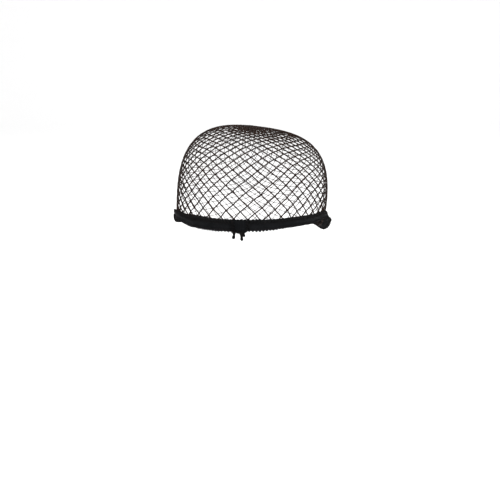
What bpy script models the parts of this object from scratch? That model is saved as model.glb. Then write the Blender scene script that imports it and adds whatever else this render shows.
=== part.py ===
"""Fishnet wig cap, held in the form it has when worn.

A dome of diamond net is sewn to a narrow elastic band round its rim and drawn together behind the
crown. The band's ends are lapped and oversewn above the forehead, where three thread tails hang.
The net is cut through as a coarse lattice: each of its strands stands for a bundle of threads.

Metres, +Z up, -Y in front. The origin is the middle of the head opening, at the height of the
band's middle over the ears.
"""

import functools
import math

import bmesh
import bpy
import numpy as np
from mathutils import Matrix, Vector

MM = 0.001

# The head under the cap, measured to the outside of the net
HALF_WIDTH = 75.7 * MM
FRONT_DEPTH = 94 * MM
BACK_DEPTH = 86 * MM
CROWN_HEIGHT = 95.3 * MM
NECK_DEPTH = 95 * MM
WIDEST_SECTION_DROP = 7 * MM
HEAD_LEAN = math.radians(7.4)

# How round the head is, from above and from the side (2 is an ellipse, more is squarer), and the
# shares by which it narrows to the forehead and widens to the crown
PLAN_POWER = 2.15
CROWN_POWER = 3.04
FOREHEAD_NARROWING = 0.175
CROWN_FULLNESS = 0.065

# Elastic band: the height of its middle over the ears' level, its section, and the rolled edges
# that stand proud. The bow is the share of the front's rise that is close to the front. Each ear
# lifts the band where it starts, and behind it the band dips below the plain curve to the nape. Its
# lower edge draws up towards the ears, by a share of the band's width
BAND_FRONT_RISE = 21 * MM
BAND_FRONT_BOW = 0.37
BAND_NAPE_DROP = 42 * MM
BAND_EAR_LIFT = 2.6 * MM
BAND_EAR_PLACE = 0.17
BAND_EAR_REACH = 0.33
BAND_EAR_DIP = 7 * MM
BAND_SIDE_NARROWING = 0.27
BAND_WIDTH = 10.8 * MM
BAND_THICKNESS = 1.4 * MM
EDGE_WIDTH = 2.2 * MM
EDGE_THICKNESS = 2.0 * MM
BAND_STEPS = 96

# One ear pushes the band's lower edge off the head and lets it hang lower behind it, each most at an
# azimuth and less to both sides
EAR_FLARE = 7.5 * MM
EAR_FLARE_AZIMUTH = math.radians(97)
EAR_FLARE_SPREAD = math.radians(17)
EAR_DROP = 6 * MM
EAR_DROP_AZIMUTH = math.radians(110)
EAR_DROP_SPREAD = math.radians(14)

# Gap between pieces that meet
SEAM_GAP = 0.3 * MM

# Net: each row of knots lies at a share of the way from the rim to the gather
COLUMNS = 24
ROW_SHARES = (0.0, 0.14, 0.285, 0.43, 0.595, 0.825)
STRAND_WIDTH = 3.8 * MM
NET_THICKNESS = 1.5 * MM
HEM_TUCK = 2.0 * MM
HEM_DEPTH = 5.0 * MM

# Gather that closes the net behind the crown
GATHER_TILT = math.radians(33)
GATHER_HOLE_RADIUS = 5 * MM
GATHER_RADIUS = 8 * MM
GATHER_HEIGHT = 3 * MM
GATHER_STEPS = 24

# Lapped join of the band's ends, in front
JOIN_SHIFT = -1.4 * MM
JOIN_WIDTH = 12.5 * MM
JOIN_THICKNESS = 0.9 * MM
JOIN_ABOVE = -0.6 * MM
JOIN_BELOW = 1.4 * MM

# Thread tails: name, place along the join, sideways swing, length, radius, knot radius
TAILS = (
    ("join_tail_left", -5.5 * MM, -0.7 * MM, 4.4 * MM, 0.60 * MM, 1.25 * MM),
    ("join_tail_right", 0.4 * MM, 0.9 * MM, 5.9 * MM, 0.90 * MM, 1.05 * MM),
    ("join_tail_side", 2.3 * MM, 0.8 * MM, 2.4 * MM, 0.60 * MM, 0.95 * MM),
)
TAIL_POINTS = 9

CENTRE = Vector((0, 0, -WIDEST_SECTION_DROP))
LEAN = Matrix.Rotation(HEAD_LEAN, 3, "Y")
GATHER_DIRECTION = Vector((0, math.sin(GATHER_TILT), math.cos(GATHER_TILT)))
DEEPEST_DIP = (1 / 3) ** 2 * (2 / 3) ** 4
SOLVER_STEPS = 30
SLOPE_STEP = 0.2 * MM
TURN = 2 * math.pi

BLACK_KNIT = (0.012, 0.011, 0.013)
BLACK_THREAD = (0.016, 0.013, 0.013)


def reach(direction):
    """Distance from the centre of the head to the outside of the net, along a unit direction."""
    across, along, up = LEAN.transposed() @ direction
    backward = along / max(math.hypot(across, along), 1e-9)
    width = HALF_WIDTH * (1 + FOREHEAD_NARROWING * backward) * (1 + CROWN_FULLNESS * max(up, 0))
    depth = FRONT_DEPTH if along < 0 else BACK_DEPTH
    height = CROWN_HEIGHT if up > 0 else NECK_DEPTH
    plan = abs(across / width) ** PLAN_POWER + abs(along / depth) ** PLAN_POWER
    return (plan ** (CROWN_POWER / PLAN_POWER) + abs(up / height) ** CROWN_POWER) ** (-1 / CROWN_POWER)


def head_point(direction):
    """Point of the net's outer surface in a direction from the centre of the head."""
    direction = direction.normalized()
    return CENTRE + direction * reach(direction)


def outward(point):
    """Unit normal of the surface, from the slope of the level at a point."""

    def level(place):
        return (place - CENTRE).length / reach((place - CENTRE).normalized())

    slope = [level(point + axis * SLOPE_STEP) - level(point - axis * SLOPE_STEP)
             for axis in Matrix.Identity(3)]
    return Vector(slope).normalized()


def band_height(azimuth):
    """Height of the band's middle: high on the forehead, close to 0 over the ears, low at the nape."""
    forward = math.cos(azimuth)
    lift = BAND_EAR_LIFT * math.exp(-((forward - BAND_EAR_PLACE) / BAND_EAR_REACH) ** 2)
    lift -= EAR_DROP * math.exp(-((azimuth - EAR_DROP_AZIMUTH) / EAR_DROP_SPREAD) ** 2)
    slope = BAND_FRONT_RISE * (1 - BAND_FRONT_BOW)
    if forward > 0:
        return lift + slope * forward + BAND_FRONT_RISE * BAND_FRONT_BOW * forward ** 2
    dip = forward ** 2 * (1 + forward) ** 4 / DEEPEST_DIP
    return lift + slope * forward - (BAND_NAPE_DROP - slope) * forward ** 2 - BAND_EAR_DIP * dip


def ear_flare(azimuth):
    """How far the ear pushes the band's lower edge off the head."""
    return EAR_FLARE * math.exp(-((azimuth - EAR_FLARE_AZIMUTH) / EAR_FLARE_SPREAD) ** 2)


def band_width_share(azimuth):
    """Share of the band's full width that it keeps, least over the ears."""
    return 1 - BAND_SIDE_NARROWING * math.sin(azimuth) ** 2


def band_middle(azimuth):
    """Point of the head under the band's middle. Azimuth 0 is in front and grows towards +X."""
    sideways = Vector((math.sin(azimuth), -math.cos(azimuth), 0))
    above_centre = Vector((0, 0, band_height(azimuth) + WIDEST_SECTION_DROP))
    distance = HALF_WIDTH
    for _ in range(SOLVER_STEPS):
        ray = sideways * distance + above_centre
        distance *= reach(ray.normalized()) / ray.length
    return CENTRE + sideways * distance + above_centre


@functools.lru_cache(maxsize=None)
def band_frame(azimuth):
    """Middle of the band, the direction along it, and the direction across it, upwards."""
    step = SLOPE_STEP / HALF_WIDTH
    middle = band_middle(azimuth)
    along = (band_middle(azimuth + step) - band_middle(azimuth - step)) / (2 * step)
    across = outward(middle).cross(along).normalized()
    return middle, along, across


def band_point(azimuth, rise, offset):
    """Point on the head, a rise above the band's middle, lifted off the surface by an offset."""
    middle, _, across = band_frame(azimuth)
    foot = head_point(middle + across * rise - CENTRE)
    return foot + outward(foot) * offset


def azimuth_beside(azimuth, shift):
    """Azimuth of a point a short way along the band."""
    return azimuth + shift / band_frame(azimuth)[1].length


def measure_rim():
    """Lengths along the net's rim from the front, and the azimuths they belong to."""
    azimuths = np.linspace(0, TURN, 2 * BAND_STEPS + 1)
    points = [band_point(a, BAND_WIDTH / 2 - HEM_TUCK, 0) for a in azimuths]
    steps = [(b - a).length for a, b in zip(points, points[1:])]
    return np.concatenate([[0], np.cumsum(steps)]), azimuths


RIM_LENGTHS, RIM_AZIMUTHS = measure_rim()


def rim_azimuth(column):
    """Azimuth where a column of the net meets the rim, columns being evenly spaced along it."""
    length = RIM_LENGTHS[-1] * (column / COLUMNS % 1)
    return float(np.interp(length, RIM_LENGTHS, RIM_AZIMUTHS))


def net_point(column, row):
    """Point of the net's outer surface on a column, at a row between the rim and the gather."""
    share = float(np.interp(row, range(len(ROW_SHARES)), ROW_SHARES))
    return column_point(column, share)


def column_point(column, share):
    rim = (band_point(rim_azimuth(column), BAND_WIDTH / 2 - HEM_TUCK, 0) - CENTRE).normalized()
    return head_point(rim.slerp(GATHER_DIRECTION, share))


def clear_scene():
    for item in list(bpy.data.objects):
        bpy.data.objects.remove(item, do_unlink=True)


def new_collection(name):
    collection = bpy.data.collections.new(name)
    bpy.context.scene.collection.children.link(collection)
    return collection


def fabric(name, colour, roughness):
    material = bpy.data.materials.new(name)
    material.use_nodes = True
    shader = material.node_tree.nodes["Principled BSDF"]
    shader.inputs["Base Color"].default_value = (*colour, 1)
    shader.inputs["Roughness"].default_value = roughness
    shader.inputs["Metallic"].default_value = 0
    return material


def add_object(name, data, collection, material):
    item = bpy.data.objects.new(name, data)
    data.materials.append(material)
    collection.objects.link(item)
    return item


def solidify(item, thickness, offset):
    """Gives an open sheet its wall: offset -1 grows it inwards, 1 outwards."""
    modifier = item.modifiers.new("wall", "SOLIDIFY")
    modifier.thickness = thickness
    modifier.offset = offset
    modifier.use_even_offset = True
    modifier.use_quality_normals = True


def build_net(collection):
    """Net dome: diamond cells inset by half a strand and opened, a hem below, a close patch above."""
    bm = bmesh.new()
    points = {}

    def vertex(column, row):
        column %= COLUMNS
        if (column, row) not in points:
            points[column, row] = bm.verts.new(net_point(column, row))
        return points[column, row]

    def face(places):
        return bm.faces.new([vertex(column, row) for column, row in places])

    last = len(ROW_SHARES) - 1
    cells = []
    for number in range(COLUMNS):
        for row in range(last):
            c = number + (0.5 if row % 2 == 0 else 0.0)
            upper = [(c + 0.5, row), (c + 0.25, row + 0.5), (c, row + 1), (c - 0.25, row + 0.5), (c - 0.5, row)]
            if row == 0:
                lower = [(c - 0.25, 0), (c, 0), (c + 0.25, 0)]
            else:
                lower = [(c - 0.25, row - 0.5), (c, row - 1), (c + 0.25, row - 0.5)]
            cells.append(face(upper + lower))
        c = number + (0.5 if last % 2 == 0 else 0.0)
        face([(c, last - 1), (c + 0.25, last - 0.5), (c + 0.5, last), (c, last), (c - 0.5, last),
              (c - 0.25, last - 0.5)])

    add_hem(bm, vertex)
    add_patch(bm, vertex, last)
    bm.normal_update()
    bmesh.ops.inset_individual(bm, faces=cells, thickness=STRAND_WIDTH / 2, use_even_offset=True)
    bmesh.ops.delete(bm, geom=cells, context="FACES")
    mesh = bpy.data.meshes.new("net_crown")
    bm.to_mesh(mesh)
    bm.free()
    net = add_object("net_crown", mesh, collection, fabric("net_thread", BLACK_THREAD, 0.75))
    solidify(net, NET_THICKNESS, -1)
    mesh.shade_smooth()


def add_hem(bm, vertex):
    """Strip of net that runs down inside the band, below the lowest row of knots."""
    steps = 4 * COLUMNS
    rise = BAND_WIDTH / 2 - HEM_TUCK - HEM_DEPTH
    upper = [vertex(step / 4, 0) for step in range(steps)]
    lower = [bm.verts.new(band_point(rim_azimuth(step / 4), rise, 0)) for step in range(steps)]
    bridge(bm, lower, upper)


def add_patch(bm, vertex, last):
    """Close patch of drawn-up net between the last row of knots and the gather's hole."""
    steps = 2 * COLUMNS
    outer = [vertex(step / 2, last) for step in range(steps)]
    middle = head_point(GATHER_DIRECTION)
    inner = []
    for knot in outer:
        spoke = (knot.co - middle).normalized() * GATHER_HOLE_RADIUS
        inner.append(bm.verts.new(head_point(middle + spoke - CENTRE)))
    bridge(bm, outer, inner)


def bridge(bm, lower, upper):
    """Faces between two closed rings of vertices that run the same way round."""
    for i, _ in enumerate(lower):
        j = (i + 1) % len(lower)
        bm.faces.new([lower[i], lower[j], upper[j], upper[i]])


def band_section():
    """Closed outline of the band's section: rise above its middle, and distance off the head."""
    half = BAND_WIDTH / 2
    inner = SEAM_GAP
    face = inner + BAND_THICKNESS
    crest = inner + EDGE_THICKNESS
    flank = inner + EDGE_THICKNESS / 2
    corner = EDGE_WIDTH / 4
    right = [(half - corner, inner), (half, flank), (half - corner, crest),
             (half - EDGE_WIDTH + corner, crest), (half - EDGE_WIDTH, face)]
    left = [(-rise, offset) for rise, offset in reversed(right)]
    return right + left


def build_band(collection):
    """Elastic band: its section lofted round the rim, because it leans with the head all the way."""
    bm = bmesh.new()
    section = band_section()
    rings = []
    for step in range(BAND_STEPS):
        azimuth = TURN * step / BAND_STEPS
        ring = []
        for rise, offset in section:
            flare = ear_flare(azimuth) * (0.5 - rise / BAND_WIDTH)
            drawn = BAND_WIDTH / 2 - (BAND_WIDTH / 2 - rise) * band_width_share(azimuth)
            ring.append(bm.verts.new(band_point(azimuth, drawn, offset + flare)))
        rings.append(ring)
    for i, ring in enumerate(rings):
        bridge(bm, ring, rings[(i + 1) % BAND_STEPS])
    bmesh.ops.recalc_face_normals(bm, faces=bm.faces)
    mesh = bpy.data.meshes.new("elastic_band")
    bm.to_mesh(mesh)
    bm.free()
    add_object("elastic_band", mesh, collection, fabric("band_knit", BLACK_KNIT, 0.85))
    mesh.shade_smooth()


def join_offset():
    """Distance off the head of the join's inner face, which clears the band's rolled edges."""
    return SEAM_GAP + EDGE_THICKNESS + SEAM_GAP


def join_azimuth(along):
    return azimuth_beside(azimuth_beside(0, JOIN_SHIFT), along)


def build_join(collection):
    """Lapped end of the band: a small sheet bent over the band, thick enough to be sewn through."""
    top = BAND_WIDTH / 2 + JOIN_ABOVE
    bottom = -BAND_WIDTH / 2 - JOIN_BELOW
    bm = bmesh.new()
    bmesh.ops.create_grid(bm, x_segments=4, y_segments=4, size=1)
    for vertex in bm.verts:
        azimuth = join_azimuth(vertex.co.x * JOIN_WIDTH / 2)
        rise = (top + bottom) / 2 + vertex.co.y * (top - bottom) / 2
        vertex.co = band_point(azimuth, rise, join_offset())
    mesh = bpy.data.meshes.new("band_join")
    bm.to_mesh(mesh)
    bm.free()
    join = add_object("band_join", mesh, collection, fabric("join_knit", BLACK_KNIT, 0.85))
    solidify(join, JOIN_THICKNESS, 1)
    bevel = join.modifiers.new("soft_edge", "BEVEL")
    bevel.width = JOIN_THICKNESS / 3
    bevel.segments = 2
    bevel.limit_method = "ANGLE"
    mesh.shade_smooth()


def build_tail(collection, name, along, swing, length, radius, knot_radius):
    """Thread tail that hangs from the join's lower edge and ends in a knot."""
    top = -BAND_WIDTH / 2 - JOIN_BELOW - SEAM_GAP
    offset = join_offset() + JOIN_THICKNESS / 2
    curve = bpy.data.curves.new(name, "CURVE")
    curve.dimensions = "3D"
    curve.bevel_depth = radius
    curve.bevel_resolution = 2
    curve.use_fill_caps = True
    spline = curve.splines.new("POLY")
    spline.points.add(TAIL_POINTS - 1)
    for i, point in enumerate(spline.points):
        share = i / (TAIL_POINTS - 1)
        azimuth = join_azimuth(along + swing * share)
        point.co = (*band_point(azimuth, top - length * share, offset), 1)
        knot = max(0.0, 1 - abs(length * (1 - share) - knot_radius) / knot_radius)
        point.radius = 1 + (knot_radius / radius - 1) * math.sqrt(knot)
    add_object(name, curve, collection, fabric(name + "_thread", BLACK_THREAD, 0.8))


def build_gather(collection):
    """Drawn-up end of the net: a turned bunch that sits over the hole behind the crown."""
    top = GATHER_HEIGHT
    outline = [(0, top), (0.45, 0.97 * top), (0.8, 0.8 * top), (1.0, 0.45 * top), (0.95, 0.1 * top), (0.8, 0),
               (0, 0)]
    mesh = bpy.data.meshes.new("crown_gather")
    mesh.from_pydata([(x * GATHER_RADIUS, 0, z) for x, z in outline], [(i, i + 1) for i in range(6)], [])
    gather = add_object("crown_gather", mesh, collection, fabric("gather_thread", BLACK_THREAD, 0.8))
    screw = gather.modifiers.new("turn", "SCREW")
    screw.axis = "Z"
    screw.steps = GATHER_STEPS
    screw.render_steps = GATHER_STEPS
    screw.use_merge_vertices = True
    screw.merge_threshold = 0.00001
    middle = head_point(GATHER_DIRECTION)
    normal = outward(middle)
    gather.location = middle + normal * SEAM_GAP
    gather.rotation_mode = "QUATERNION"
    gather.rotation_quaternion = normal.to_track_quat("Z", "Y")


def main():
    clear_scene()
    parts = new_collection("wig_cap")
    build_net(parts)
    build_band(parts)
    build_join(parts)
    for tail in TAILS:
        build_tail(parts, *tail)
    build_gather(parts)


main()
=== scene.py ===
"""Looks of the fishnet wig cap: fine net, knitted band, sewn join, thread tails and gathered end.

Metres, in the same frame as the solids: +Z up, -Y in front. Lengths are millimetres times MM.
The dome and the band follow the same formulas as the solids, so every piece sits where its solid
is. Small bumps of the band and of the net follow the photo where the worn cap is uneven.
"""

import math

import bmesh
import bpy
import numpy as np
from mathutils import Matrix, Vector


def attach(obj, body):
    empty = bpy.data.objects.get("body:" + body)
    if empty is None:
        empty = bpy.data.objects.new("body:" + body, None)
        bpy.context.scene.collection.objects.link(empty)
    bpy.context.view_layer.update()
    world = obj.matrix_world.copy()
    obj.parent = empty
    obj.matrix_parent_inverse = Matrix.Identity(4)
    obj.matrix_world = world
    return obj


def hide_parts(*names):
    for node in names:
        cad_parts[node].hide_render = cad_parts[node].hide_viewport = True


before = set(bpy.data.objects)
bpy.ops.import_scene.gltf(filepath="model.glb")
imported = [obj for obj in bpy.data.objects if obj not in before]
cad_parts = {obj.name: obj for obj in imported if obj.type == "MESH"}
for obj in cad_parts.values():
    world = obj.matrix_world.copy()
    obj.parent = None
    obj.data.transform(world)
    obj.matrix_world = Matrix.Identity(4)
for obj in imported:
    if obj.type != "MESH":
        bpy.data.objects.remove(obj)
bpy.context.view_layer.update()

MM = 0.001
TURN = 2 * math.pi

# The dome, as in the solids
HALF_WIDTH = 75.7 * MM
FRONT_DEPTH = 94 * MM
BACK_DEPTH = 86 * MM
CROWN_HEIGHT = 95.3 * MM
NECK_DEPTH = 95 * MM
WIDEST_SECTION_DROP = 7 * MM
HEAD_LEAN = math.radians(7.4)
PLAN_POWER = 2.15
CROWN_POWER = 3.04
FOREHEAD_NARROWING = 0.175
CROWN_FULLNESS = 0.065
GATHER_TILT = math.radians(33)

# The band, as in the solids. Azimuths run round it from the front, first towards +X
BAND_FRONT_RISE = 21 * MM
BAND_FRONT_BOW = 0.37
BAND_NAPE_DROP = 42 * MM
BAND_EAR_LIFT = 2.6 * MM
BAND_EAR_PLACE = 0.17
BAND_EAR_REACH = 0.33
BAND_EAR_DIP = 7 * MM
DEEPEST_DIP = (1 / 3) ** 2 * (2 / 3) ** 4
BAND_SIDE_NARROWING = 0.27
EAR_DROP = 6 * MM
EAR_DROP_AZIMUTH = math.radians(110)
EAR_DROP_SPREAD = math.radians(14)
BAND_WIDTH = 10.8 * MM
BAND_THICKNESS = 1.4 * MM
EDGE_THICKNESS = 2.0 * MM
SEAM_GAP = 0.3 * MM

# The band's flare at one side, a little less than in the solids
EAR_FLARE = 6.9 * MM
EAR_FLARE_AZIMUTH = math.radians(97)
EAR_FLARE_SPREAD = math.radians(17)

# Unevenness of the worn band, which the solids leave out. Each row is a bump: its height, and the
# azimuth of its middle and its spread in degrees. These bumps lift the whole band
BAND_BUMPS = (
    (-1.5 * MM, -36, 11),
    (-1.3 * MM, -16, 13),
    (1.5 * MM, 180, 40),
    (-2.4 * MM, 217, 20),
    (-1.1 * MM, 100, 11),
)
# These lift its lower edge by a share of its width
LOWER_EDGE_BUMPS = (
    (0.15, 32, 18),
)
# These bring its upper edge down
UPPER_EDGE_DROPS = (
    (2.0 * MM, -88, 14),
    (1.6 * MM, 88, 14),
    (-0.9 * MM, -18, 12),
    (1.7 * MM, 145, 17),
    (1.0 * MM, 212, 18),
)

# Fine net. A place in it is a number of half columns, counted round the rim from the front, and a
# number of half rows, counted downwards, with the front of the rim at RIM_ROW. The half columns
# stand closer in front and behind than at the sides
COLUMNS = 38
COLUMN_SHIFT = 4.44 * MM
FRONT_CLOSENESS = 0.1565
LOWEST_ROW = 6
HIGHEST_ROW = -32
RIM_ROW = 3.78
ROW_TILT = 1.45
ROWS_TO_GATHER = 35.92
ROWS_LOST_BEHIND = 6
# Rows before the hem's share of the way to the gather, and after the end's, are squeezed together
HEM_SHARE = -0.03
END_SHARE = 0.975
END_SQUEEZE = 0.02
# How the rows crowd, all round and in front: factors of rising powers of the way from the middle
ROW_CROWDING = (-0.226, 0.813, 0.736)
FRONT_CROWDING = (0.155, -0.414)
# How the columns slew forwards and back: factors of rising powers of the way from the rim
COLUMN_SLEW = (0.012, -8.0, 19.49, -10.09)
SLEW_OVERTONE = 0.35
SIDE_SLEW = -0.065

# The net's flare at that side, above the band
NET_FLARE = 1.3 * MM
NET_FLARE_AZIMUTH = math.radians(97)
NET_FLARE_SPREAD = math.radians(25)
NET_FLARE_REACH = 0.15

# Yarn of the net, drawn thinner behind and towards the gather
FRONT_STRAND_RADIUS = 0.60 * MM
BACK_STRAND_RADIUS = 0.33 * MM
STRAND_FADE_START = 38 * MM
STRAND_FADE = 14 * MM
GATHER_THINNING = 0.35
GATHER_THINNING_REACH = 50 * MM

# Middle and lean of the dome, and the directions out to the gather, sideways and forwards there
CENTRE = np.array([0, 0, -WIDEST_SECTION_DROP])
LEAN = np.array(Matrix.Rotation(HEAD_LEAN, 3, "Y"))
GATHER_DIRECTION = np.array([0, math.sin(GATHER_TILT), math.cos(GATHER_TILT)])
GATHER_SIDE = np.array([1, 0, 0])
GATHER_FRONT = np.array([0, -math.cos(GATHER_TILT), math.sin(GATHER_TILT)])

# Precision of the solving and of the tables
SLOPE_STEP = 0.2 * MM
SOLVER_STEPS = 30
BAND_SAMPLES = 1441
SMALLEST = 1e-9


def unit(vectors):
    return vectors / np.linalg.norm(vectors, axis=-1, keepdims=True)


def lengths_along(points):
    """Length from the first point to each point of a line."""
    steps = np.linalg.norm(np.diff(points, axis=0), axis=1)
    return np.concatenate([[0], np.cumsum(steps)])


def powers(factors, value):
    """Sum of the rising powers of a value, times their factors."""
    return sum(factor * value ** power for power, factor in enumerate(factors))


def reach(directions):
    """Distance from the dome's middle to the outside of the net, along unit directions."""
    across, along, up = np.moveaxis(directions @ LEAN, -1, 0)
    backward = along / np.maximum(np.hypot(across, along), SMALLEST)
    narrowing = 1 + FOREHEAD_NARROWING * backward
    fullness = 1 + CROWN_FULLNESS * np.maximum(up, 0)
    width = HALF_WIDTH * narrowing * fullness
    depth = np.where(along < 0, FRONT_DEPTH, BACK_DEPTH)
    height = np.where(up > 0, CROWN_HEIGHT, NECK_DEPTH)
    plan = np.abs(across / width) ** PLAN_POWER + np.abs(along / depth) ** PLAN_POWER
    section = plan ** (CROWN_POWER / PLAN_POWER) + np.abs(up / height) ** CROWN_POWER
    return section ** (-1 / CROWN_POWER)


def head_points(directions):
    """Points of the net's outside in some directions from the dome's middle."""
    directions = unit(directions)
    return CENTRE + directions * reach(directions)[..., None]


def outward(points):
    """Unit normals of the dome at points on it or near it."""

    def level(places):
        away = places - CENTRE
        return np.linalg.norm(away, axis=-1) / reach(unit(away))

    slopes = [level(points + step) - level(points - step) for step in np.eye(3) * SLOPE_STEP]
    return unit(np.stack(slopes, axis=-1))


def bell(azimuths, middle, spread):
    """A soft bump round the band, 1 at its middle."""
    away = np.mod(azimuths - middle + math.pi, TURN) - math.pi
    return np.exp(-(away / spread) ** 2)


def bumps(azimuths, rows):
    """Sum of soft bumps round the band, from rows of height, and azimuth and spread in degrees."""
    return sum(height * bell(azimuths, math.radians(middle), math.radians(spread))
               for height, middle, spread in rows)


def band_height(azimuths):
    """Height of the band's middle: high in front, close to 0 at the sides, low behind."""
    forward = np.cos(azimuths)
    lift = BAND_EAR_LIFT * np.exp(-((forward - BAND_EAR_PLACE) / BAND_EAR_REACH) ** 2)
    lift = lift - EAR_DROP * bell(azimuths, EAR_DROP_AZIMUTH, EAR_DROP_SPREAD)
    lift = lift + bumps(azimuths, BAND_BUMPS)
    slope = BAND_FRONT_RISE * (1 - BAND_FRONT_BOW)
    front = slope * forward + BAND_FRONT_RISE * BAND_FRONT_BOW * forward ** 2
    dip = forward ** 2 * (1 + forward) ** 4 / DEEPEST_DIP
    back = slope * forward - (BAND_NAPE_DROP - slope) * forward ** 2 - BAND_EAR_DIP * dip
    return lift + np.where(forward > 0, front, back)


def band_middle(azimuths):
    """Points of the dome at the height of the band's middle."""
    sideways = np.stack([np.sin(azimuths), -np.cos(azimuths), np.zeros_like(azimuths)], axis=-1)
    lift = (band_height(azimuths) + WIDEST_SECTION_DROP)[..., None] * np.array([0, 0, 1])
    distance = np.full_like(azimuths, HALF_WIDTH)
    for _ in range(SOLVER_STEPS):
        ray = sideways * distance[..., None] + lift
        distance = distance * reach(unit(ray)) / np.linalg.norm(ray, axis=-1)
    return CENTRE + sideways * distance[..., None] + lift


BAND_AZIMUTHS = np.linspace(0, TURN, BAND_SAMPLES)
BAND_MIDDLES = band_middle(BAND_AZIMUTHS)
BAND_ALONG = np.gradient(BAND_MIDDLES, BAND_AZIMUTHS, axis=0)
BAND_ALONG[0] = BAND_ALONG[-1] = (BAND_ALONG[0] + BAND_ALONG[-1]) / 2
BAND_ACROSS = unit(np.cross(outward(BAND_MIDDLES), BAND_ALONG))
BAND_LENGTHS = lengths_along(BAND_MIDDLES)
BAND_LENGTH = BAND_LENGTHS[-1]


def looked_up(values, azimuths):
    """Values of a table of points along the band, at any azimuths."""
    azimuths = np.mod(azimuths, TURN)
    columns = [np.interp(azimuths, BAND_AZIMUTHS, column) for column in values.T]
    return np.stack(columns, axis=-1)


def band_points(azimuths, rises, offsets):
    """Points on the dome, at rises above the band's middle, lifted off its surface by offsets."""
    azimuths, rises, offsets = np.broadcast_arrays(azimuths, rises, offsets)
    middles = looked_up(BAND_MIDDLES, azimuths)
    feet = head_points(middles + looked_up(BAND_ACROSS, azimuths) * rises[..., None] - CENTRE)
    return feet + outward(feet) * offsets[..., None]


def azimuth_at(lengths):
    """Azimuths of places given by their lengths along the band's middle, from the front."""
    return np.interp(np.mod(lengths, BAND_LENGTH), BAND_LENGTHS, BAND_AZIMUTHS)


def drawn_in(azimuths, rises):
    """Rises of the band's places once its edges have drawn in."""
    narrowing = BAND_SIDE_NARROWING * np.sin(azimuths) ** 2 + bumps(azimuths, LOWER_EDGE_BUMPS)
    drawn = BAND_WIDTH / 2 - (BAND_WIDTH / 2 - rises) * (1 - narrowing)
    return drawn - bumps(azimuths, UPPER_EDGE_DROPS) * (0.5 + rises / BAND_WIDTH)


def ear_flare(azimuths, rises):
    """How far the band stands off the dome at one side, most at its lower edge."""
    push = EAR_FLARE * bell(azimuths, EAR_FLARE_AZIMUTH, EAR_FLARE_SPREAD)
    return push * (0.5 - rises / BAND_WIDTH)


RIM_POINTS = band_points(BAND_AZIMUTHS, BAND_WIDTH / 2, 0.0)
RIM_LENGTHS = lengths_along(RIM_POINTS)
RIM_LENGTH = RIM_LENGTHS[-1]


def row_shares(turn, half_rows):
    """Share of the way from the rim to the gather, with rows that tilt and crowd."""
    lost = ROWS_LOST_BEHIND * (0.5 - 0.5 * np.cos(math.pi * turn)) ** 3
    rim_row = RIM_ROW - ROW_TILT * np.sin(math.pi * turn) - lost
    way = (rim_row - half_rows) / (ROWS_TO_GATHER - lost)
    way = np.where(way < HEM_SHARE, HEM_SHARE + END_SQUEEZE * (way - HEM_SHARE), way)
    way = np.where(way > END_SHARE, END_SHARE + END_SQUEEZE * (way - END_SHARE), way)
    bend = 0.5 - way
    frontness = (0.5 + 0.5 * np.cos(math.pi * turn)) ** 2
    crowding = powers(ROW_CROWDING, bend) + frontness * powers(FRONT_CROWDING, bend)
    return way * (1 + (1 - way) * crowding)


def slewed(around, share):
    """Angles of the columns round the gather, slewed on their way from the rim."""
    slew = powers(COLUMN_SLEW, share) / (1 + 2 * SLEW_OVERTONE)
    pull = slew * (np.sin(around) + SLEW_OVERTONE * np.sin(2 * around))
    pull = pull + SIDE_SLEW * np.cos(around)
    return around + share * (1 - share) * pull


def net_places(half_columns, half_rows):
    """Points of the net's outer surface, their normals, the width of half a column there, and the
    share of the way from the rim to the gather."""
    turn = half_columns / COLUMNS
    closeness = FRONT_CLOSENESS * np.sin(TURN * turn) / TURN
    length = COLUMN_SHIFT + RIM_LENGTH / 2 * (turn - closeness)
    azimuth = np.interp(np.mod(length, RIM_LENGTH), RIM_LENGTHS, BAND_AZIMUTHS)
    rim = unit(looked_up(RIM_POINTS, azimuth) - CENTRE)
    share = row_shares(turn, half_rows)

    whole = np.arccos(np.clip(rim @ GATHER_DIRECTION, -1, 1))
    around = slewed(np.arctan2(rim @ GATHER_SIDE, rim @ GATHER_FRONT), share)[..., None]
    angle = (whole * (1 - share))[..., None]
    sideways = np.sin(around) * GATHER_SIDE + np.cos(around) * GATHER_FRONT
    points = head_points(np.cos(angle) * GATHER_DIRECTION + np.sin(angle) * sideways)
    openness = 1 - FRONT_CLOSENESS * np.cos(TURN * turn)
    width = RIM_LENGTH / (2 * COLUMNS) * openness * np.sin(angle[..., 0]) / np.sin(whole)

    flare = NET_FLARE * bell(azimuth, NET_FLARE_AZIMUTH, NET_FLARE_SPREAD)
    flare = flare * np.exp(-(share / NET_FLARE_REACH) ** 2)
    normals = outward(points)
    return points + normals * flare[..., None], normals, width, share


def strand_radii(points):
    """Radii of the net's yarn at points of the net."""
    behind = 0.5 + 0.5 * np.tanh((points[..., 1] - STRAND_FADE_START) / STRAND_FADE)
    from_gather = np.linalg.norm(points - head_points(GATHER_DIRECTION), axis=-1)
    drawn = 1 - GATHER_THINNING * np.exp(-(from_gather / GATHER_THINNING_REACH) ** 2)
    return (FRONT_STRAND_RADIUS + (BACK_STRAND_RADIUS - FRONT_STRAND_RADIUS) * behind) * drawn


def fill_mesh(name, corners, faces, uvs):
    """A smooth mesh from its points, its faces and the pattern coordinates of the faces' corners."""
    mesh = bpy.data.meshes.new(name)
    mesh.from_pydata(corners.reshape(-1, 3).tolist(), [], faces)
    layer = mesh.uv_layers.new(name="pattern")
    layer.data.foreach_set("uv", np.asarray(uvs, np.float32).ravel())
    mesh.shade_smooth()
    piece = bpy.data.objects.new(name, mesh)
    bpy.context.scene.collection.objects.link(piece)
    return piece


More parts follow.
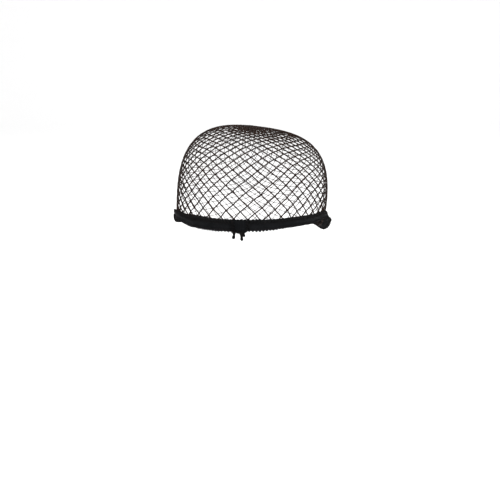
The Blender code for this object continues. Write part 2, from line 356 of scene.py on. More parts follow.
def quads_between(number):
    """Faces between neighbours in a table of point numbers, which closes on itself both ways."""
    after = np.roll(number, -1, axis=-2)
    beside = np.roll(number, -1, axis=-1)
    return np.stack([number, after, np.roll(after, -1, axis=-1), beside], axis=-1)


def tubes(name, paths, radii, ups, sides, closed=False):
    """One mesh of several round tubes, all with as many points. Ups are directions off the tubes."""
    count, points = paths.shape[:2]
    if closed:
        ahead = np.roll(paths, -1, axis=1) - np.roll(paths, 1, axis=1)
    else:
        ahead = np.gradient(paths, axis=1)
    ahead = unit(ahead)
    side = unit(np.cross(ahead, np.broadcast_to(ups, paths.shape)))
    up = np.cross(side, ahead)
    turn = (TURN * np.arange(sides) / sides)[:, None]
    ring = np.cos(turn) * side[:, :, None] + np.sin(turn) * up[:, :, None]
    radii = np.broadcast_to(radii, paths.shape[:2])
    corners = paths[:, :, None] + ring * radii[:, :, None, None]

    number = np.arange(count * points * sides).reshape(count, points, sides)
    rings = slice(None) if closed else slice(0, points - 1)
    faces = quads_between(number)[:, rings].reshape(-1, 4).tolist()
    steps = np.linalg.norm(np.roll(paths, -1, axis=1) - paths, axis=-1)
    length = np.cumsum(steps, axis=1) - steps
    start = np.broadcast_to(length[:, :, None], number.shape)
    end = start + steps[:, :, None]
    left = np.broadcast_to(np.arange(sides) / sides, number.shape)
    right = left + 1 / sides
    uvs = np.stack([start, left, end, left, end, right, start, right], axis=-1)
    uvs = uvs[:, rings].reshape(-1, 2)
    if not closed:
        faces += number[:, 0].tolist() + number[:, -1, ::-1].tolist()
        uvs = np.concatenate([uvs, np.zeros((2 * count * sides, 2))])
    return fill_mesh(name, corners, faces, uvs)


def surface(name, corners, closed_along=False, closed_around=False, scale=(1.0, 1.0)):
    """A mesh from a grid of points. Its pattern coordinates count the grid's steps times a scale."""
    along, around = corners.shape[:2]
    quads = quads_between(np.arange(along * around).reshape(along, around))
    rows = slice(None) if closed_along else slice(0, along - 1)
    columns = slice(None) if closed_around else slice(0, around - 1)
    i, j = np.meshgrid(np.arange(along), np.arange(around), indexing="ij")
    left, low = i * scale[0], j * scale[1]
    right, high = left + scale[0], low + scale[1]
    uvs = np.stack([left, low, right, low, right, high, left, high], axis=-1)
    faces = quads[rows, columns].reshape(-1, 4).tolist()
    return fill_mesh(name, corners, faces, uvs[rows, columns].reshape(-1, 2))


def close_ends(piece):
    """Adds the two end faces of a piece that is open at both ends."""
    mesh = piece.data
    bm = bmesh.new()
    bm.from_mesh(mesh)
    bmesh.ops.holes_fill(bm, edges=bm.edges[:])
    bmesh.ops.recalc_face_normals(bm, faces=bm.faces[:])
    bm.to_mesh(mesh)
    bm.free()


def seat(piece, material, slot, *nodes):
    """Gives a piece its material, and sets it on the body in place of its solids; its slot is not
    used.
    """
    piece.data.materials.append(material)
    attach(piece, "root")
    if nodes:
        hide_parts(*nodes)
    return piece


def start_material(name, roughness, specular):
    """A new material with its shader set, its texture coordinates and its pattern coordinates."""
    material = bpy.data.materials.new(name)
    material.use_nodes = True
    tree = material.node_tree
    shader = tree.nodes["Principled BSDF"]
    shader.inputs["Roughness"].default_value = roughness
    shader.inputs["Specular IOR Level"].default_value = specular
    place = tree.nodes.new("ShaderNodeTexCoord")
    pattern = tree.nodes.new("ShaderNodeSeparateXYZ")
    tree.links.new(place.outputs["UV"], pattern.inputs[0])
    return material, shader, place, pattern


def calculate(tree, operation, *values):
    """Result of a maths node on sockets and plain numbers."""
    node = tree.nodes.new("ShaderNodeMath")
    node.operation = operation
    for socket, value in zip(node.inputs, values):
        if isinstance(value, bpy.types.NodeSocket):
            tree.links.new(value, socket)
        else:
            socket.default_value = value
    return node.outputs[0]


def noise(tree, place, scale, detail):
    """Noise in the object's space, with a number of features per metre."""
    node = tree.nodes.new("ShaderNodeTexNoise")
    node.inputs["Scale"].default_value = scale
    node.inputs["Detail"].default_value = detail
    tree.links.new(place.outputs["Object"], node.inputs["Vector"])
    return node.outputs["Fac"]


def add_relief(tree, shader, height, strength, distance):
    """Fine relief in the shading, from heights times a distance."""
    relief = tree.nodes.new("ShaderNodeBump")
    relief.inputs["Strength"].default_value = strength
    relief.inputs["Distance"].default_value = distance
    tree.links.new(height, relief.inputs["Height"])
    tree.links.new(relief.outputs["Normal"], shader.inputs["Normal"])


def add_colour_ramp(tree, shader, amount, places, colours):
    """Colour that goes from a dark colour to a lighter one between two amounts."""
    ramp = tree.nodes.new("ShaderNodeValToRGB")
    for element, place, colour in zip(ramp.color_ramp.elements, places, colours):
        element.position = place
        element.color = (*colour, 1)
    tree.links.new(amount, ramp.inputs["Fac"])
    tree.links.new(ramp.outputs["Color"], shader.inputs["Base Color"])


YARN_SPECULAR = 0.06
YARN_FUZZ_SCALE = 2600
YARN_FUZZ_DETAIL = 3
YARN_PLY_HEIGHT = 0.35
YARN_RELIEF = 0.15 * MM
YARN_DYE_SCALE = 90
YARN_DYE_DETAIL = 4
YARN_DYE_PLACES = (0.35, 0.70)


def yarn_material(name, colours, roughness, ply_length, plies, relief):
    """Twisted yarn: slanting plies from the pattern coordinates, with fine fuzz and uneven dye."""
    material, shader, place, pattern = start_material(name, roughness, YARN_SPECULAR)
    tree = material.node_tree
    along = calculate(tree, "MULTIPLY", pattern.outputs["X"], TURN / ply_length)
    slant = calculate(tree, "MULTIPLY_ADD", pattern.outputs["Y"], TURN * plies, along)
    ply = calculate(tree, "SINE", slant)
    fuzz = noise(tree, place, YARN_FUZZ_SCALE, YARN_FUZZ_DETAIL)
    height = calculate(tree, "MULTIPLY_ADD", ply, YARN_PLY_HEIGHT, fuzz)
    add_relief(tree, shader, height, relief, YARN_RELIEF)
    colour_amount = noise(tree, place, YARN_DYE_SCALE, YARN_DYE_DETAIL)
    add_colour_ramp(tree, shader, colour_amount, YARN_DYE_PLACES, colours)
    return material


KNIT_ROUGHNESS = 0.78
KNIT_SPECULAR = 0.04
KNIT_SHEEN = 0.01
KNIT_SHEEN_ROUGHNESS = 0.45
KNIT_SHEEN_TINT = (0.62, 0.64, 0.70, 1)
KNIT_LEAN = 2.2
KNIT_ROW_HEIGHT = 0.5
KNIT_RIB_HEIGHT = 0.6
KNIT_FUZZ_HEIGHT = 0.7
KNIT_FUZZ_SCALE = 1800
KNIT_FUZZ_DETAIL = 4
KNIT_RELIEF_STRENGTH = 0.8
KNIT_RELIEF = 0.18 * MM
# Painted shade: the band's colour is lighter on the raised stitch rows and darker in the grooves
# between them
KNIT_ROW_SHADE = 0.12
# Noise of lighter bluish patches in the band's colour: partly uneven dye, partly painted highlight
KNIT_TONE_AND_HIGHLIGHT_SCALE = 60
KNIT_TONE_AND_HIGHLIGHT_DETAIL = 5
KNIT_TONE_AND_HIGHLIGHT_PLACES = (0.35, 0.75)


def knit_material(name, colours, rib, stitch):
    """Knitted elastic: rows of small stitches between lengthwise ribs, by pattern coordinates."""
    material, shader, place, pattern = start_material(name, KNIT_ROUGHNESS, KNIT_SPECULAR)
    shader.inputs["Sheen Weight"].default_value = KNIT_SHEEN
    shader.inputs["Sheen Roughness"].default_value = KNIT_SHEEN_ROUGHNESS
    shader.inputs["Sheen Tint"].default_value = KNIT_SHEEN_TINT
    tree = material.node_tree
    across = calculate(tree, "MULTIPLY", pattern.outputs["Y"], TURN / rib)
    ribs = calculate(tree, "ABSOLUTE", calculate(tree, "SINE", across))
    along = calculate(tree, "MULTIPLY", pattern.outputs["X"], TURN / stitch)
    rows = calculate(tree, "SINE", calculate(tree, "MULTIPLY_ADD", ribs, KNIT_LEAN, along))
    fuzz = noise(tree, place, KNIT_FUZZ_SCALE, KNIT_FUZZ_DETAIL)
    height = calculate(tree, "MULTIPLY", fuzz, KNIT_FUZZ_HEIGHT)
    height = calculate(tree, "MULTIPLY_ADD", ribs, KNIT_RIB_HEIGHT, height)
    height = calculate(tree, "MULTIPLY_ADD", rows, KNIT_ROW_HEIGHT, height)
    add_relief(tree, shader, height, KNIT_RELIEF_STRENGTH, KNIT_RELIEF)
    # The band's colour: noise of lighter bluish patches, partly uneven dye and partly painted
    # highlight, plus painted shade in the grooves between stitch rows
    colour_amount = noise(tree, place, KNIT_TONE_AND_HIGHLIGHT_SCALE, KNIT_TONE_AND_HIGHLIGHT_DETAIL)
    colour_amount = calculate(tree, "MULTIPLY_ADD", rows, KNIT_ROW_SHADE, colour_amount)
    add_colour_ramp(tree, shader, colour_amount, KNIT_TONE_AND_HIGHLIGHT_PLACES, colours)
    return material


NET_COLOURS = ((0.007, 0.0032, 0.002), (0.018, 0.0085, 0.0055))
THREAD_COLOURS = ((0.0015, 0.0012, 0.0012), (0.005, 0.004, 0.004))
# The band's lighter colour is partly a painted highlight
BAND_COLOURS = ((0.0015, 0.0017, 0.0021), (0.006, 0.0062, 0.007))
NET_YARN = yarn_material(
    "net_yarn", NET_COLOURS, roughness=0.62, ply_length=1.6 * MM, plies=2, relief=0.6)
THREAD = yarn_material(
    "sewing_thread", THREAD_COLOURS, roughness=0.6, ply_length=1.2 * MM, plies=3, relief=0.7)
BAND_KNIT = knit_material("band_knit", BAND_COLOURS, rib=1.3 * MM, stitch=0.9 * MM)

NET_SEED = 11
NET_JITTER = 0.045
NET_DRIFT = 0.10
# Slow waves of the crossings, sideways and upways: waves round the rim, and half rows to a wave
NET_DRIFT_WAVES = (
    (3, 17),
    (4, -23),
)


def crossings():
    """The half rows, and how far each crossing lies from its even place, sideways and upways."""
    rows = np.arange(HIGHEST_ROW, LOWEST_ROW + 1)
    turns = np.arange(2 * COLUMNS)[:, None] / (2 * COLUMNS)
    random = np.random.default_rng(NET_SEED)
    moves = []
    for waves, rows_to_wave in NET_DRIFT_WAVES:
        drift = NET_DRIFT * np.sin(TURN * (waves * turns + rows / rows_to_wave))
        moves.append(random.normal(0, NET_JITTER, drift.shape) + drift)
    return rows, *moves


STRAND_SIDES = 5
STRAND_STEPS = (0.0, 0.12, 0.37, 0.63, 0.88)
STRAND_SWING = (0.0, 0.05, 0.33, 0.67, 0.95)
STRAND_SPREAD = 0.86
SPREAD_LIMIT = 0.25
PLEATS = 20
PLEAT_HEIGHT = 0.6 * MM
PLEAT_START = 0.84
PLEAT_POWER = 1.5


def strand_spread(points, width):
    """How far two strands stay from the crossing between them, in half columns of that width."""
    return np.minimum(STRAND_SPREAD * strand_radii(points) / width, SPREAD_LIMIT)


def between_turns(values, shares):
    """Values at shares of the way from each turn of a yarn to its next, in a row for each yarn."""
    shares = np.array(shares)
    steps = values[:, :-1, None] * (1 - shares) + values[:, 1:, None] * shares
    return steps.reshape(len(values), -1)


def build_net():
    """All the net's yarns. Each zigzags between two columns and meets its neighbours in turn."""
    rows, sideways, upways = crossings()
    yarns = np.arange(2 * COLUMNS)[:, None]
    at_right = (yarns + rows) % 2
    knot = (yarns + at_right) % (2 * COLUMNS)
    row_numbers = np.arange(len(rows))[None, :]
    column = yarns + at_right + sideways[knot, row_numbers]
    row = rows + upways[knot, row_numbers]
    turns, _, width, _ = net_places(column, row)
    column = column + np.where(at_right == 1, -1, 1) * strand_spread(turns, width)

    columns = between_turns(column, STRAND_SWING)
    points, normals, _, share = net_places(columns, between_turns(row, STRAND_STEPS))
    rise = np.clip((share - PLEAT_START) / (1 - PLEAT_START), 0, 1) ** PLEAT_POWER
    pleat = PLEAT_HEIGHT * rise * (0.5 + 0.5 * np.cos(math.pi * PLEATS * columns / COLUMNS))
    radii = strand_radii(points)
    points = points + normals * (pleat - radii)[..., None]
    net = tubes("fishnet", points, radii, normals, STRAND_SIDES)
    return seat(net, NET_YARN, "net_yarn", "net_crown")


KNOT_TURNS = 1.2
KNOT_POINTS = 12
KNOT_SIDES = 4
KNOT_RADIUS = 0.2 * MM
KNOT_HEIGHT = 1.1 * MM
KNOT_SINK = 0.08 * MM
KNOT_LOWEST_SHARE = -0.005
KNOT_HIGHEST_SHARE = 0.90
UPWARD_STEP = 0.1


def build_knots():
    """A small loop of yarn round the two strands at each crossing."""
    rows, sideways, upways = crossings()
    columns = np.broadcast_to(np.arange(2 * COLUMNS)[:, None], sideways.shape)
    real = (columns + rows) % 2 == 0
    column = (columns + sideways)[real]
    row = (rows + upways)[real]
    points, normals, width, share = net_places(column, row)
    keep = (share > KNOT_LOWEST_SHARE) & (share < KNOT_HIGHEST_SHARE)
    parts = (column, row, points, normals, width)
    column, row, points, normals, width = (part[keep] for part in parts)
    above = net_places(column, row - UPWARD_STEP)[0]
    upwards = unit(above - points)
    sidewards = unit(np.cross(upwards, normals))
    radii = strand_radii(points)
    spread = strand_spread(points, width) * width
    half_width = (spread + radii - KNOT_SINK)[:, None, None]
    half_depth = (radii - KNOT_SINK)[:, None, None]
    share_of_turn = np.linspace(0, 1, KNOT_POINTS)
    angle = (TURN * KNOT_TURNS * (share_of_turn - 0.5))[None, :, None]
    climb = (KNOT_HEIGHT * (share_of_turn - 0.5))[None, :, None]
    middle = (points - normals * radii[:, None])[:, None]
    loops = (middle + sidewards[:, None] * half_width * np.sin(angle)
             + normals[:, None] * half_depth * np.cos(angle) + upwards[:, None] * climb)
    knots = tubes("fishnet_knots", loops, KNOT_RADIUS, upwards[:, None], KNOT_SIDES)
    return seat(knots, NET_YARN, "net_yarn")


BAND_STEPS = 1100
BAND_FACE_POINTS = 33
BAND_INNER_STRIDE = 4
RIBS = 6
RIB_HEIGHT = 0.10 * MM
EDGE_ROLL = 2.2 * MM
EDGE_FOOT = 0.62 * BAND_THICKNESS
EDGE_WANDER = 0.18 * MM
UPPER_WANDER_SEED = 3
LOWER_WANDER_SEED = 4
WANDER_WAVES = (7, 13, 19, 31, 47)
WANDER_SCALE = 2.2
OVERLOCK_PITCH = 3.1 * MM
OVERLOCK_LOOPS = round(BAND_LENGTH / OVERLOCK_PITCH)
SCALLOP_HEIGHT = 0.28 * MM


def band_profile():
    """The band's section: rises of its points, and their distances from its inner face."""
    rise = np.sin(np.linspace(-math.pi / 2, math.pi / 2, BAND_FACE_POINTS)) * BAND_WIDTH / 2
    from_edge = BAND_WIDTH / 2 - np.abs(rise)
    roll = np.clip(1 - ((from_edge - EDGE_ROLL / 2) / (EDGE_ROLL / 2)) ** 2, 0, 1)
    edge = EDGE_FOOT + (EDGE_THICKNESS - EDGE_FOOT) * np.sqrt(roll)
    ribs = RIB_HEIGHT * np.cos(TURN * RIBS * rise / BAND_WIDTH)
    face = BAND_THICKNESS + ribs * (from_edge > EDGE_ROLL)
    height = np.where(from_edge < EDGE_ROLL, edge, face)
    inner = rise[::-BAND_INNER_STRIDE][1:-1]
    return np.concatenate([rise, inner]), np.concatenate([height, np.zeros(len(inner))])


def wander(azimuths, seed):
    """Slow, uneven waves round the band, between about -1 and 1."""
    random = np.random.default_rng(seed)
    total = np.zeros_like(azimuths)
    for waves in WANDER_WAVES:
        total = total + np.sin(waves * azimuths + random.uniform(0, TURN)) / WANDER_SCALE
    return total


def build_band():
    """The ribbon, with ribs, rolled edges and scallops in step with the overlock thread."""
    way_round = np.arange(BAND_STEPS)[:, None] / BAND_STEPS
    azimuths = azimuth_at(way_round * BAND_LENGTH)
    rises, heights = band_profile()
    scallop = SCALLOP_HEIGHT * np.cos(TURN * OVERLOCK_LOOPS * way_round)
    upper = wander(azimuths, UPPER_WANDER_SEED) * EDGE_WANDER + scallop
    lower = wander(azimuths, LOWER_WANDER_SEED) * EDGE_WANDER - scallop
    share = rises / BAND_WIDTH + 0.5
    rises = rises + upper * share ** 2 + lower * (1 - share) ** 2
    offsets = SEAM_GAP + heights + ear_flare(azimuths, rises)
    corners = band_points(azimuths, drawn_in(azimuths, rises), offsets)
    scale = (BAND_LENGTH / BAND_STEPS, BAND_WIDTH / BAND_FACE_POINTS)
    band = surface("band_body", corners, True, True, scale)
    return seat(band, BAND_KNIT, "band_elastic", "elastic_band")


THREAD_SIDES = 5
OVERLOCK_POINTS = 14
OVERLOCK_RADIUS = 0.45 * MM
OVERLOCK_REACH = 1.35 * MM
OVERLOCK_HALF_HEIGHT = EDGE_THICKNESS / 2 + 0.05 * MM
OVERLOCK_UNEVENNESS = 0.18 * MM
# Name, side of the band, depth of the loops' middle inside its edge, and seeds of edge and loops
OVERLOCKS = (
    ("band_overlock_top", 1, 1.25 * MM, UPPER_WANDER_SEED, 21),
    ("band_overlock_bottom", -1, 0.85 * MM, LOWER_WANDER_SEED, 22),
)


def build_overlock(name, side, depth, edge_seed, loop_seed):
    """Overlock thread that wraps one edge of the band, side 1 above and -1 below."""
    number = np.arange(OVERLOCK_LOOPS * OVERLOCK_POINTS)
    turn = TURN * number / OVERLOCK_POINTS
    azimuths = azimuth_at(number / len(number) * BAND_LENGTH)
    random = np.random.default_rng(loop_seed)
    uneven = random.uniform(-1, 1, OVERLOCK_LOOPS + 1)
    uneven = np.interp(number / OVERLOCK_POINTS, np.arange(OVERLOCK_LOOPS + 1), uneven)
    edge = BAND_WIDTH / 2 - depth + OVERLOCK_UNEVENNESS * uneven
    edge = edge + side * wander(azimuths, edge_seed) * EDGE_WANDER
    rises = side * (edge + OVERLOCK_REACH * np.cos(turn))
    middle = SEAM_GAP + EDGE_THICKNESS / 2
    offsets = middle + OVERLOCK_HALF_HEIGHT * np.sin(turn) + ear_flare(azimuths, rises)
    path = band_points(azimuths, drawn_in(azimuths, rises), offsets)
    along = looked_up(BAND_ALONG, azimuths)
    thread = tubes(name, path[None], OVERLOCK_RADIUS, along[None], THREAD_SIDES, closed=True)
    return seat(thread, THREAD, "sewing_thread")


ZIGZAG_PITCH = 2.8 * MM
ZIGZAG_POINTS = 8
ZIGZAG_WIDTH = 2.0 * MM
ZIGZAG_DROP = 3.4 * MM
ZIGZAG_RADIUS = 0.22 * MM
ZIGZAG_HEIGHT = 0.7 * ZIGZAG_RADIUS
ZIGZAG_DIVE = 0.25 * MM
ZIGZAG_DIVE_START = 0.9


def build_zigzag():
    """Zigzag seam that holds the net to the band, below its upper edge."""
    turns = round(BAND_LENGTH / ZIGZAG_PITCH)
    number = np.arange(turns * ZIGZAG_POINTS)
    azimuths = azimuth_at(number / len(number) * BAND_LENGTH)
    phase = (number % ZIGZAG_POINTS) / ZIGZAG_POINTS
    swing = np.abs(2 * phase - 1) * 2 - 1
    rises = BAND_WIDTH / 2 - ZIGZAG_DROP + swing * ZIGZAG_WIDTH / 2
    dive = ZIGZAG_DIVE * (np.abs(swing) > ZIGZAG_DIVE_START)
    offsets = SEAM_GAP + BAND_THICKNESS + ZIGZAG_HEIGHT - dive + ear_flare(azimuths, rises)
    path = band_points(azimuths, drawn_in(azimuths, rises), offsets)
    ups = outward(path)[None]
    thread = tubes("band_zigzag", path[None], ZIGZAG_RADIUS, ups, THREAD_SIDES, closed=True)
    return seat(thread, THREAD, "sewing_thread")


# The join of the band's ends, as in the solids
JOIN_SHIFT = -1.4 * MM
JOIN_WIDTH = 12.5 * MM
JOIN_THICKNESS = 0.9 * MM
JOIN_ABOVE = -0.6 * MM
JOIN_BELOW = 1.4 * MM
JOIN_OFFSET = SEAM_GAP + EDGE_THICKNESS + SEAM_GAP

# Its soft form in detail. The powers round off its corners
JOIN_COLUMNS = 44
JOIN_ROWS = 34
JOIN_BELLY = 0.35 * MM
JOIN_LIFT = 0.8 * MM
JOIN_FLOAT = 0.1 * MM
JOIN_LOWER_INSET = 0.3 * MM
JOIN_END_THICKNESS = 0.15
JOIN_BULGE_POWER = 0.8
JOIN_FACE_POWER = 0.45
JOIN_EDGE_POWER = 0.8


def join_azimuth(along):
    """Azimuths of places given by their lengths along the band from the join's middle."""
    front = azimuth_at(JOIN_SHIFT)
    return azimuth_at(np.interp(front, BAND_AZIMUTHS, BAND_LENGTHS) + along)


def flattened(values, power):
    """Values between -1 and 1 raised to a power, each with its own sign."""
    return np.sign(values) * np.abs(values) ** power


def build_join():
    """Lapped end of the band: a pad that lies on the band at its ends and sags between them."""
    top = BAND_WIDTH / 2 + JOIN_ABOVE
    around = np.linspace(0, TURN, 2 * JOIN_ROWS, endpoint=False)
    along = np.sin(np.linspace(-math.pi / 2, math.pi / 2, JOIN_COLUMNS))[:, None]
    bulge = (1 - along ** 2) ** JOIN_BULGE_POWER
    bottom = -BAND_WIDTH / 2 + JOIN_LOWER_INSET - (JOIN_BELOW + JOIN_LOWER_INSET) * bulge
    height = flattened(np.sin(around), JOIN_FACE_POWER)
    share = flattened(np.cos(around), JOIN_EDGE_POWER)
    thickness = JOIN_THICKNESS * (JOIN_END_THICKNESS + (1 - JOIN_END_THICKNESS) * bulge)
    thickness = thickness + JOIN_BELLY * (1 - share ** 2) * (height > 0) * bulge
    lift = SEAM_GAP + BAND_THICKNESS + JOIN_FLOAT + JOIN_LIFT * (1 - along ** 4)
    offsets = lift + thickness * (height + 1) / 2
    rises = (top + bottom) / 2 + share * (top - bottom) / 2
    corners = band_points(join_azimuth(along * JOIN_WIDTH / 2), rises, offsets)
    scale = (JOIN_WIDTH / JOIN_COLUMNS, BAND_WIDTH / BAND_FACE_POINTS)
    join = surface("join_patch", corners[:, ::-1], False, True, scale)
    close_ends(join)
    return seat(join, BAND_KNIT, "band_elastic", "band_join")


STITCHES = 7
STITCH_POINTS = 9
STITCH_REACH = 1.6 * MM
STITCH_SLANT = 0.5 * MM
STITCH_MARGIN = 1.5 * MM
STITCH_RADIUS = 0.26 * MM
# Heights of a stitch over the solid join's inner face, on its way from beside the lap onto it
STITCH_WAY = (-1, -0.2, 0.2, 1)
STITCH_HEIGHTS = (0, 0.1 * MM, 1.0 * MM, 1.15 * MM)


def build_join_stitches():
    """Slanting hand stitches over both ends of the lap."""
    share = np.linspace(-1, 1, STITCH_POINTS)
    paths = []
    for side in (-1, 1):
        for number in range(STITCHES):
            middle = (number - (STITCHES - 1) / 2) * (BAND_WIDTH - STITCH_MARGIN) / STITCHES
            along = side * JOIN_WIDTH / 2 + share * STITCH_REACH
            height = np.interp(-side * share, STITCH_WAY, STITCH_HEIGHTS)
            paths.append(band_points(
                join_azimuth(along), middle + share * STITCH_SLANT, JOIN_OFFSET + height))
    paths = np.array(paths)
    stitches = tubes("join_stitches", paths, STITCH_RADIUS, outward(paths), THREAD_SIDES)
    return seat(stitches, THREAD, "sewing_thread")


# Thread tails, mostly a little fuller than in the solids: name, place along the band from the
# join's middle, swing along it, length, radius and knot's radius
TAILS = (
    ("join_tail_left", -5.5 * MM, -0.7 * MM, 4.2 * MM, 0.78 * MM, 1.25 * MM),
    ("join_tail_right", 0.4 * MM, 0.9 * MM, 5.9 * MM, 0.92 * MM, 1.20 * MM),
    ("join_tail_side", 2.3 * MM, 1.2 * MM, 2.4 * MM, 0.60 * MM, 0.95 * MM),
)
TAIL_STEPS = 48
TAIL_SIDES = 8
TAIL_PLIES = 3
TAIL_PLY_PLACE = 0.5
TAIL_PLY_RADIUS = 0.56
TAIL_ROOT = 2.0 * MM
TAIL_FULLNESS = 1.22
TAIL_TWIST = 2.2 * MM
TAIL_CURL = 0.25 * MM
TAIL_CURL_TURNS = 0.8
TAIL_TIP = 0.3
# The tail spreads where it leaves the join, by this times the square of its radius in millimetres
TAIL_FOOT = 1.0
TAIL_FOOT_LENGTH = 1.6 * MM


def build_tail(name, along, swing, length, radius, knot_radius):
    """Thread tail of three twisted plies that spreads at its top and ends in a tied knot."""
    top = -BAND_WIDTH / 2 - JOIN_BELOW - SEAM_GAP + TAIL_ROOT
    offset = JOIN_OFFSET + JOIN_THICKNESS / 2
    share = np.linspace(0, 1, TAIL_STEPS)
    hang = length + TAIL_ROOT
    radius = TAIL_FULLNESS * radius
    knot_radius = TAIL_FULLNESS * knot_radius
    curl = TAIL_CURL * np.sin(TURN * TAIL_CURL_TURNS * share)
    azimuths = join_azimuth(along + swing * share + curl)
    line = band_points(azimuths, top - hang * share, offset + curl)
    ahead = unit(np.gradient(line, axis=0))
    side = unit(np.cross(ahead, outward(line)))
    up = np.cross(side, ahead)

    from_end = hang * (1 - share)
    from_middle = (from_end - knot_radius) / knot_radius
    knot = knot_radius * np.sqrt(np.clip(1 - from_middle ** 2, 0, 1))
    foot = TAIL_FOOT * (radius / MM) ** 2 * np.exp(-hang * share / TAIL_FOOT_LENGTH)
    strand = radius * (1 + foot) * (from_end > knot_radius)
    bulk = np.maximum(strand, np.maximum(knot, TAIL_TIP * radius))
    paths = []
    for ply in range(TAIL_PLIES):
        turn = TURN * (hang * share / TAIL_TWIST + ply / TAIL_PLIES)[:, None]
        away = (np.cos(turn) * side + np.sin(turn) * up) * (TAIL_PLY_PLACE * bulk)[:, None]
        paths.append(line + away)
    tail = tubes(name + "_thread", np.array(paths), TAIL_PLY_RADIUS * bulk, up[None], TAIL_SIDES)
    return seat(tail, THREAD, "sewing_thread", name)


GATHER_RADIUS = 8 * MM
GATHER_TOP = 1.6 * MM
GATHER_PUCKERS = 19
GATHER_FOLD = 0.16
GATHER_FOLD_WIDTH = 0.25
# Unevenness of the folds: its size in radians, and its waves round the bunch
GATHER_FOLD_WAVES = (
    (0.9, 2),
    (0.7, 5),
)
GATHER_SIDES = 304
GATHER_RINGS = 30
GATHER_HOLE = 0.06
GATHER_DIMPLE = 0.45
GATHER_DIMPLE_REACH = 0.16 * GATHER_RADIUS
GATHER_TUCK = 0.4 * MM
GATHER_TUCK_START = 1.5
# Powers that shape the bunch: of its folds' depth, its radius and its height
GATHER_FOLD_POWER = 0.5
GATHER_SIDE_POWER = 0.85
GATHER_TOP_POWER = 0.7
GATHER_PATTERN = (0.4 * MM, 0.2 * MM)


def gather_frame():
    """The foot of the gather, the normal there, and two directions along the dome."""
    middle = head_points(GATHER_DIRECTION)
    normal = outward(middle)
    side = unit(np.cross(normal, GATHER_SIDE))
    return middle + normal * SEAM_GAP, normal, side, np.cross(normal, side)


def gather_points(around, radius, height):
    """Points round the gather's axis, at heights over its foot."""
    middle, normal, side, other = gather_frame()
    return (middle + normal * height[..., None] + side * (radius * np.cos(around))[..., None]
            + other * (radius * np.sin(around))[..., None])


def build_gather():
    """Drawn-up end of the net: a low puckered bunch, with folds that run to its middle."""
    around = np.linspace(0, TURN, GATHER_SIDES, endpoint=False)
    profile = np.linspace(GATHER_HOLE, 1, GATHER_RINGS)[:, None] * math.pi / 2
    phase = sum(size * np.sin(waves * around) for size, waves in GATHER_FOLD_WAVES)
    fold = np.cos(GATHER_PUCKERS * around + phase)
    depth = GATHER_FOLD * fold * np.sin(2 * profile) ** GATHER_FOLD_POWER
    radius = GATHER_RADIUS * np.sin(profile) ** GATHER_SIDE_POWER
    radius = radius * (1 + GATHER_FOLD_WIDTH * depth)
    dimple = 1 - GATHER_DIMPLE * np.exp(-(radius / GATHER_DIMPLE_REACH) ** 2)
    height = GATHER_TOP * np.cos(profile) ** GATHER_TOP_POWER * (1 + depth) * dimple
    height = height - GATHER_TUCK * (profile > GATHER_TUCK_START)
    corners = gather_points(around, radius, height)
    bunch = surface("gather_bunch", corners, False, True, GATHER_PATTERN)
    close_ends(bunch)
    return seat(bunch, NET_YARN, "net_yarn", "crown_gather")


WINDING_TURNS = 3
WINDING_STEPS = 60
WINDING_SIDES = 6
WINDING_RADIUS = 0.98 * GATHER_RADIUS
WINDING_THREAD_RADIUS = 0.32 * MM
WINDING_FOOT = 0.1 * MM
WINDING_HEIGHT = 0.9 * MM
WINDING_WAVE = 0.12 * MM
WINDING_WAVES = 9


def build_winding():
    """Thread wound round the foot of the bunch, which ties the net's end."""
    turn = np.linspace(0, TURN * WINDING_TURNS, WINDING_STEPS * WINDING_TURNS)
    radius = WINDING_RADIUS + WINDING_WAVE * np.sin(WINDING_WAVES * turn)
    height = WINDING_FOOT + WINDING_HEIGHT * turn / turn[-1]
    path = gather_points(turn, radius, height)
    normal = gather_frame()[1]
    winding = tubes(
        "gather_winding", path[None], WINDING_THREAD_RADIUS, normal[None, None], WINDING_SIDES)
    return seat(winding, THREAD, "sewing_thread")


# Camera, fitted to the outline, the band and the net's crossings in the photo
CAMERA_DISTANCE = 590 * MM
CAMERA_ELEVATION = math.radians(21.6)
CAMERA_AZIMUTH = math.radians(3.14)
CAMERA_ROLL = math.radians(-0.70)
CAMERA_RIGHT = 2.04 * MM
CAMERA_UP = -36.57 * MM
CLIP_START = 10 * MM
FOCAL_PIXELS = 566.8
PICTURE_WIDTH = 500
SENSOR_WIDTH = 36


def build_camera():
    """The photo's camera. It looks down from in front, with a slight roll."""
    out = math.cos(CAMERA_ELEVATION)
    back = Vector((math.sin(CAMERA_AZIMUTH) * out,
                   -math.cos(CAMERA_AZIMUTH) * out, math.sin(CAMERA_ELEVATION)))
    level = Vector((math.cos(CAMERA_AZIMUTH), math.sin(CAMERA_AZIMUTH), 0))
    upright = back.cross(level)
    right = level * math.cos(CAMERA_ROLL) + upright * math.sin(CAMERA_ROLL)
    up = upright * math.cos(CAMERA_ROLL) - level * math.sin(CAMERA_ROLL)
    data = bpy.data.cameras.new("camera")
    data.sensor_width = SENSOR_WIDTH
    data.lens = FOCAL_PIXELS / PICTURE_WIDTH * SENSOR_WIDTH
    data.clip_start = CLIP_START
    camera = bpy.data.objects.new("camera", data)
    place = back * CAMERA_DISTANCE + right * CAMERA_RIGHT + up * CAMERA_UP
    turned = Matrix((right, up, back)).transposed().to_4x4()
    camera.matrix_world = Matrix.Translation(place) @ turned
    bpy.context.scene.collection.objects.link(camera)
    bpy.context.scene.camera = camera


# Stage, in metres
FLOOR_HEIGHT = -0.42
FLOOR_HALF_WIDTH = 6.0
FLOOR_BEND_START = 3.0
FLOOR_BEND_RADIUS = 1.5
FLOOR_BEND_STEPS = 16
WALL_TOP = 6.0
FLOOR_COLOUR = (0.93, 0.93, 0.93, 1)
FLOOR_ROUGHNESS = 0.9
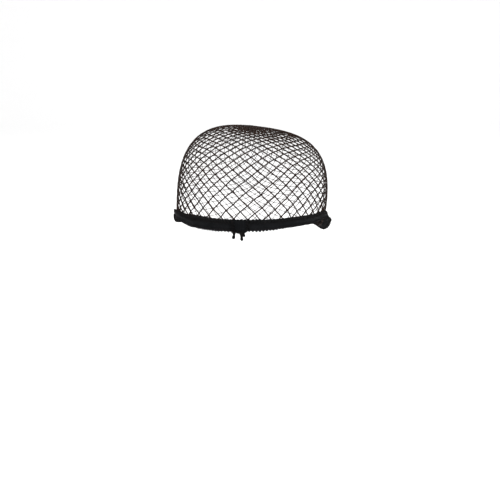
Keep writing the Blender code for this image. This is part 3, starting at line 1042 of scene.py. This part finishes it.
# Name, place, size in metres and power in watts
LIGHTS = (
    ("key_light", (1.2, -1.2, 1.0), 1.2, 34),
    ("fill_light", (-1.3, -1.1, 0.7), 1.4, 16),
    ("top_light", (0.1, 0.2, 1.7), 1.6, 26),
)
WORLD_COLOUR = (1, 1, 1, 1)
WORLD_STRENGTH = 0.95


def build_floor():
    """Pale floor that bends up into a wall far behind."""
    bend = np.linspace(0, math.pi / 2, FLOOR_BEND_STEPS)
    run = FLOOR_BEND_START + FLOOR_BEND_RADIUS * np.sin(bend)
    run = np.concatenate([[-FLOOR_HALF_WIDTH], run, [FLOOR_BEND_START + FLOOR_BEND_RADIUS]])
    rise = FLOOR_BEND_RADIUS - FLOOR_BEND_RADIUS * np.cos(bend)
    rise = np.concatenate([[0.0], rise, [WALL_TOP]]) + FLOOR_HEIGHT
    across = np.array([-FLOOR_HALF_WIDTH, FLOOR_HALF_WIDTH])[:, None]
    corners = np.stack(np.broadcast_arrays(across, run, rise), axis=-1)
    floor = surface("floor", corners)
    paper = bpy.data.materials.new("pale_floor")
    paper.use_nodes = True
    shader = paper.node_tree.nodes["Principled BSDF"]
    shader.inputs["Base Color"].default_value = FLOOR_COLOUR
    shader.inputs["Roughness"].default_value = FLOOR_ROUGHNESS
    floor.data.materials.append(paper)


def build_light(name, place, size, power):
    """Square soft light that points at the origin."""
    data = bpy.data.lights.new(name, "AREA")
    data.size = size
    data.energy = power
    light = bpy.data.objects.new(name, data)
    light.location = place
    light.rotation_mode = "QUATERNION"
    light.rotation_quaternion = (-Vector(place)).to_track_quat("-Z", "Y")
    bpy.context.scene.collection.objects.link(light)


def build_world():
    """Even white surroundings, shown without a film look."""
    world = bpy.data.worlds.new("studio")
    world.use_nodes = True
    background = world.node_tree.nodes["Background"]
    background.inputs["Color"].default_value = WORLD_COLOUR
    background.inputs["Strength"].default_value = WORLD_STRENGTH
    bpy.context.scene.world = world
    bpy.context.scene.view_settings.view_transform = "Standard"


build_camera()
net = build_net()
knots = build_knots()
build_band()
for overlock in OVERLOCKS:
    build_overlock(*overlock)
build_zigzag()
build_join()
build_join_stitches()
for tail in TAILS:
    build_tail(*tail)
build_gather()
build_winding()
build_floor()
for light in LIGHTS:
    build_light(*light)
build_world()
